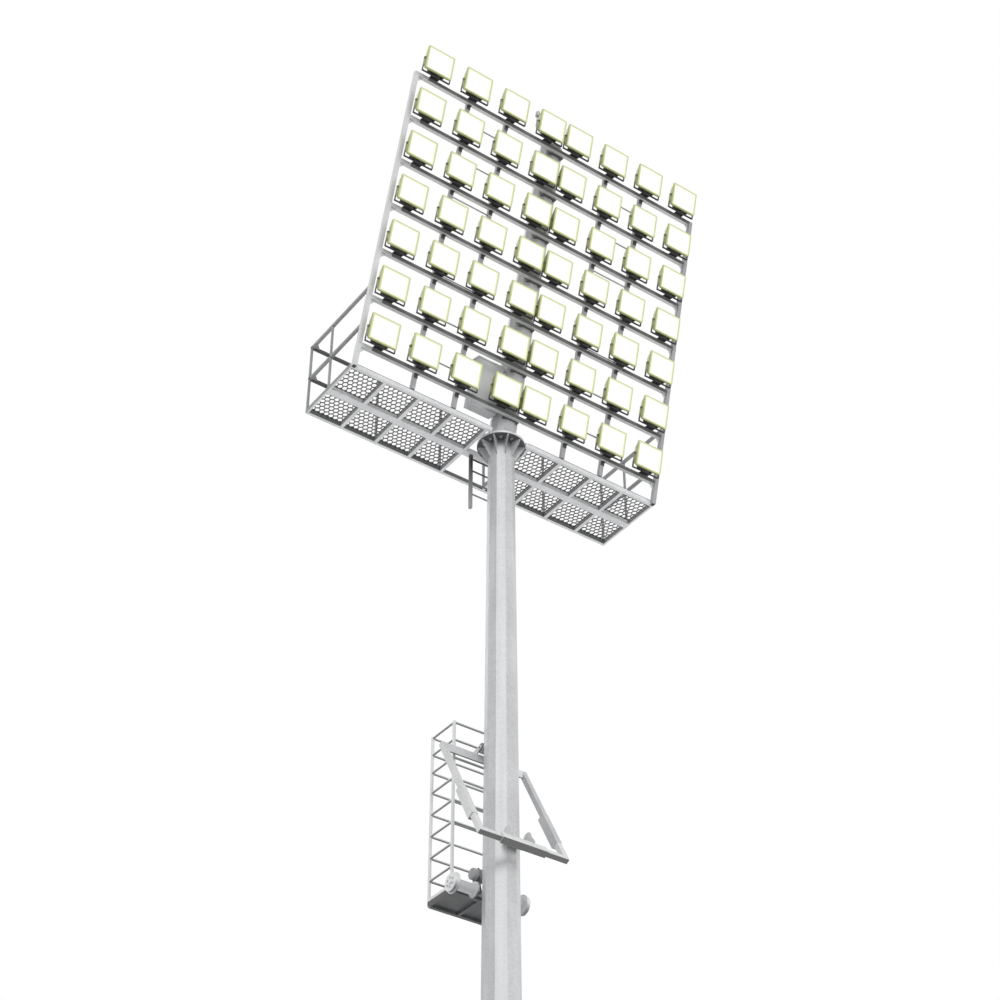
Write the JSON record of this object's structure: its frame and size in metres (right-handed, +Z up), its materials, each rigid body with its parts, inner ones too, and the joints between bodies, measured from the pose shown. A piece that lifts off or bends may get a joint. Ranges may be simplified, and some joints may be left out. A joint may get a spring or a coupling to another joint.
{
  "type": "stadium floodlight pylon",
  "caption": "Ten-sided tapered mast with a leaning frame of floodlights, a railed service platform and a climbing service lift.",
  "frame": {"origin": "centre of the base plate's underside, on the mast's axis", "axes": "+Z up the mast, -Y towards the lit field, +X to the right seen from the field"},
  "size_m": [5.34, 2.832, 25.7793],
  "materials": {
    "galvanised_steel": "dull galvanised",
    "mast_steel": "dull galvanised, mottled",
    "dark_steel": "satin",
    "grating_steel": "dull galvanised",
    "lamp_housing": "satin",
    "lamp_lens": "lit, diffuse",
    "dark_bracket": "satin",
    "lift_steel": "satin",
    "roller_plastic": "satin",
    "cabinet_paint": "satin",
    "beacon_plastic": "satin",
    "motor_paint": "satin"
  },
  "bodies": {
    "pylon": {"base_plate": "mast_steel", "mast_lower": "mast_steel", "access_door": "mast_steel", "mast_upper": "mast_steel", "mast_flange": "mast_steel", "head_flange": "galvanised_steel", "head_spine": "galvanised_steel", "spine_brackets": "dark_steel", "frame_post_left": "galvanised_steel", "frame_post_right": "galvanised_steel", "uprights_left": "galvanised_steel", "uprights_right": "galvanised_steel", "rail_1": "galvanised_steel", "rail_2": "galvanised_steel", "rail_3": "galvanised_steel", "rail_4": "galvanised_steel", "rail_5": "galvanised_steel", "rail_6": "galvanised_steel", "rail_7": "galvanised_steel", "lamp_yokes_1": "dark_bracket", "lamp_yokes_2": "dark_bracket", "lamp_yokes_3": "dark_bracket", "lamp_yokes_4": "dark_bracket", "lamp_yokes_5": "dark_bracket", "lamp_yokes_6": "dark_bracket", "lamp_yokes_7": "dark_bracket", "deck_frame_left": "galvanised_steel", "deck_frame_right": "galvanised_steel", "grating_left": "grating_steel", "grating_right": "grating_steel", "bridge_beams": "galvanised_steel", "guard_rail_rear": "galvanised_steel", "guard_rail_left": "galvanised_steel", "guard_rail_right": "galvanised_steel", "platform_ladder": "dark_steel", "gear_cabinet": "cabinet_paint", "lightning_rod": "galvanised_steel", "obstruction_light": "beacon_plastic"},
    "lift": {"cage_left_side": "lift_steel", "cage_right_side": "lift_steel", "cage_rungs": "lift_steel", "cage_floor": "dark_steel", "top_beam": "lift_steel", "lift_arm_left": "lift_steel", "lift_arm_right": "lift_steel", "hoist_motor": "motor_paint", "reel_bearings": "dark_steel"},
    "front_frame": {"front_beam": "lift_steel", "front_tube_left": "lift_steel", "front_tube_right": "lift_steel"},
    "rear_roller": {"rear_roller": "roller_plastic"},
    "front_roller": {"front_roller": "roller_plastic"},
    "reels": {"rope_reels": "lift_steel"},
    "lamp_row_1": {"lamp_heads_1": "lamp_housing"},
    "lamp_row_2": {"lamp_heads_2": "lamp_housing"},
    "lamp_row_3": {"lamp_heads_3": "lamp_housing"},
    "lamp_row_4": {"lamp_heads_4": "lamp_housing"},
    "lamp_row_5": {"lamp_heads_5": "lamp_housing"},
    "lamp_row_6": {"lamp_heads_6": "lamp_housing"},
    "lamp_row_7": {"lamp_heads_7": "lamp_housing"}
  },
  "joints": [
    {"name": "lift_travel", "type": "slide", "parent": "pylon", "child": "lift", "axis": [0, -0.0058, 1], "range_m": [-12.4, 3.4]},
    {"name": "front_frame_slide", "type": "slide", "parent": "lift", "child": "front_frame", "axis": [0, -0.4677, -0.8839], "range_m": [-0.09, 0.32]},
    {"name": "rear_roller_spin", "type": "hinge", "parent": "lift", "child": "rear_roller", "pos_m": [0, 0.28026, 15.035], "axis": [1, 0, 0], "continuous": true},
    {"name": "front_roller_spin", "type": "hinge", "parent": "front_frame", "child": "front_roller", "pos_m": [0, -0.28952, 13.45], "axis": [1, 0, 0], "continuous": true},
    {"name": "reel_spin", "type": "hinge", "parent": "lift", "child": "reels", "pos_m": [0, 0.285, 12.985], "axis": [1, 0, 0], "continuous": true},
    {"name": "lamp_row_1_tilt", "type": "hinge", "parent": "pylon", "child": "lamp_row_1", "pos_m": [0, -1.68878, 25.14022], "axis": [1, 0, 0], "range_deg": [-25, 25]},
    {"name": "lamp_row_2_tilt", "type": "hinge", "parent": "pylon", "child": "lamp_row_2", "pos_m": [0, -1.48535, 24.381], "axis": [1, 0, 0], "range_deg": [-25, 25]},
    {"name": "lamp_row_3_tilt", "type": "hinge", "parent": "pylon", "child": "lamp_row_3", "pos_m": [0, -1.28192, 23.62178], "axis": [1, 0, 0], "range_deg": [-25, 25]},
    {"name": "lamp_row_4_tilt", "type": "hinge", "parent": "pylon", "child": "lamp_row_4", "pos_m": [0, -1.07849, 22.86256], "axis": [1, 0, 0], "range_deg": [-25, 25]},
    {"name": "lamp_row_5_tilt", "type": "hinge", "parent": "pylon", "child": "lamp_row_5", "pos_m": [0, -0.87506, 22.10335], "axis": [1, 0, 0], "range_deg": [-25, 25]},
    {"name": "lamp_row_6_tilt", "type": "hinge", "parent": "pylon", "child": "lamp_row_6", "pos_m": [0, -0.67162, 21.34413], "axis": [1, 0, 0], "range_deg": [-25, 25]},
    {"name": "lamp_row_7_tilt", "type": "hinge", "parent": "pylon", "child": "lamp_row_7", "pos_m": [0, -0.46819, 20.58491], "axis": [1, 0, 0], "range_deg": [-25, 25]}
  ],
  "couplings": [
    {"joint": "front_frame_slide", "follows": "lift_travel", "ratio": -0.025252}
  ]
}
